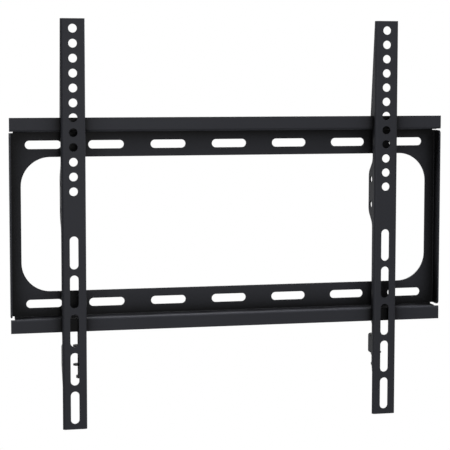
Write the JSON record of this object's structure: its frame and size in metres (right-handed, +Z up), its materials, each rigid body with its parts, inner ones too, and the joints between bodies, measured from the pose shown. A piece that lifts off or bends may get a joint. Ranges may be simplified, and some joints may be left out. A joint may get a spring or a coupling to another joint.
{
  "type": "tv wall mount",
  "caption": "Low-profile fixed wall mount: a folded steel plate with a window, slotted rails and lips carries hooked channel arms with bolt holes, slots and locking screws.",
  "frame": {"origin": "middle of the wall plate's back plane, at the centre of the wall slots", "axes": "+X to the viewer's right, +Y into the wall, +Z up"},
  "size_m": [0.46, 0.0227, 0.42],
  "materials": {
    "powder_coat": "satin",
    "black_zinc": "satin"
  },
  "bodies": {
    "root": {"wall_plate": "powder_coat", "left_arm": "powder_coat", "right_arm": "powder_coat", "left_safety_screw": "black_zinc", "right_safety_screw": "black_zinc"}
  },
  "joints": []
}
